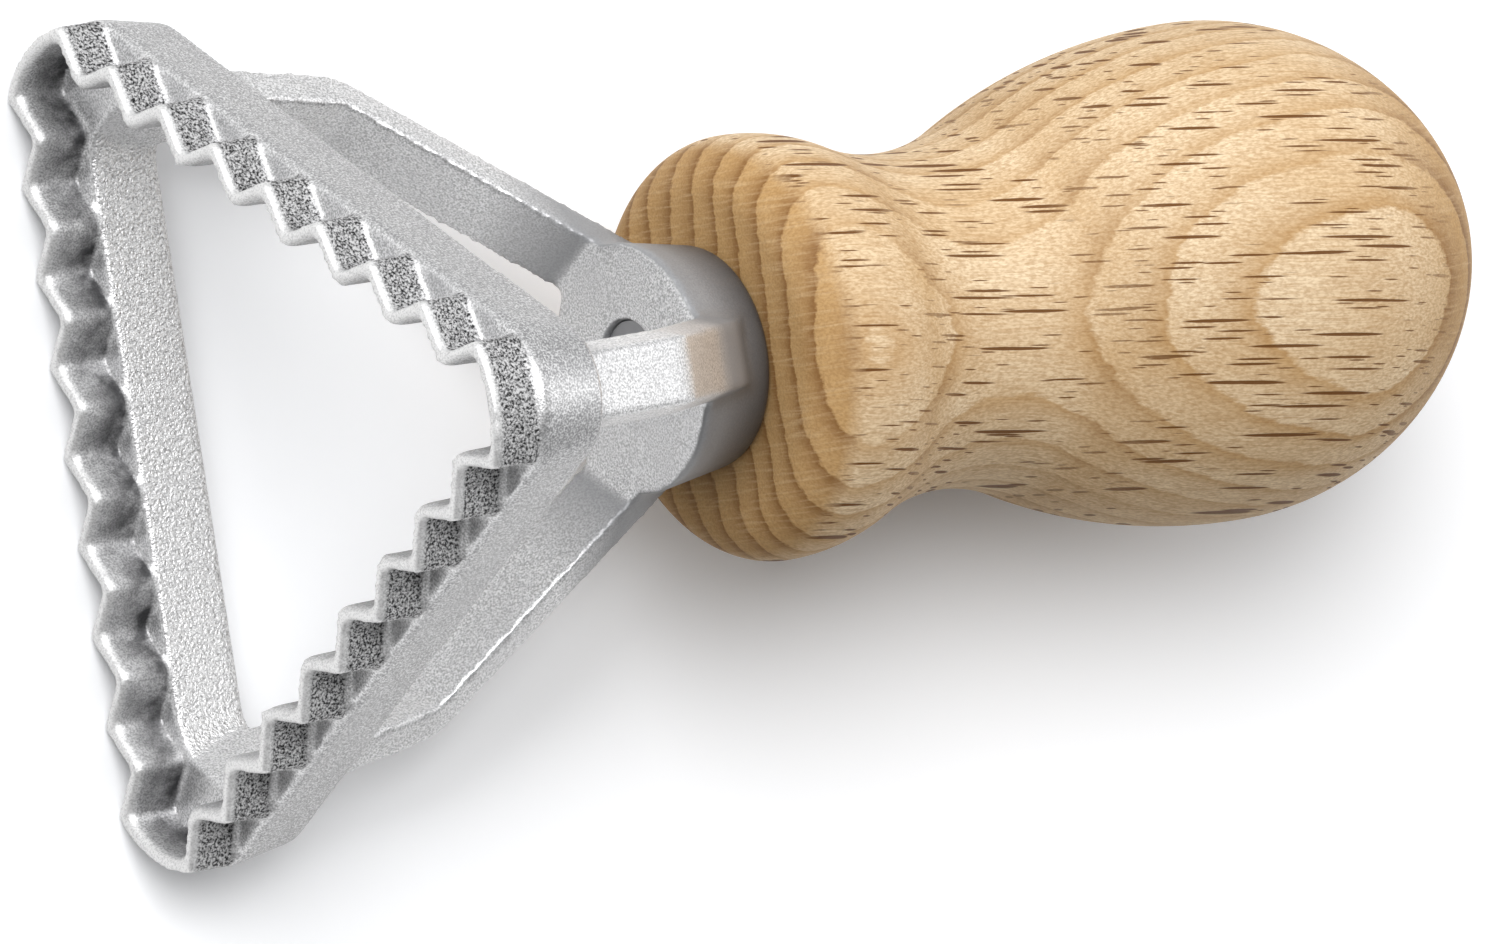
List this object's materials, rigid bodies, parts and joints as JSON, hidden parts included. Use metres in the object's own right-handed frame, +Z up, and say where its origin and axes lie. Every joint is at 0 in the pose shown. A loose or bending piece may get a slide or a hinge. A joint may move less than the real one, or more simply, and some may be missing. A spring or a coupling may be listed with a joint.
{
  "type": "ravioli stamp",
  "caption": "Triangular ravioli stamp: a cast aluminium frame with a zigzag cutting rim, cranked arms to a round hub, and a waisted beech handle.",
  "frame": {"origin": "under the middle of the length, on the worktop that the stamp lies on", "axes": "+X from the cutting rim to the round end of the handle, level; +Z up, through the upper corner of the triangle; +Y across. The stamp lies as it comes to rest, on one side of the triangle and on the bulb of the handle, so the handle's axis falls towards the end by a little over one degree."},
  "size_m": [0.1184, 0.066, 0.0589],
  "materials": {
    "cast_aluminium": "sand-cast skin, lightly tumbled",
    "beech": "turned beech, oiled satin",
    "screw_steel": "bright steel"
  },
  "bodies": {
    "root": {"stamp_head": "cast_aluminium", "handle": "beech", "handle_screw": "screw_steel"}
  },
  "joints": []
}
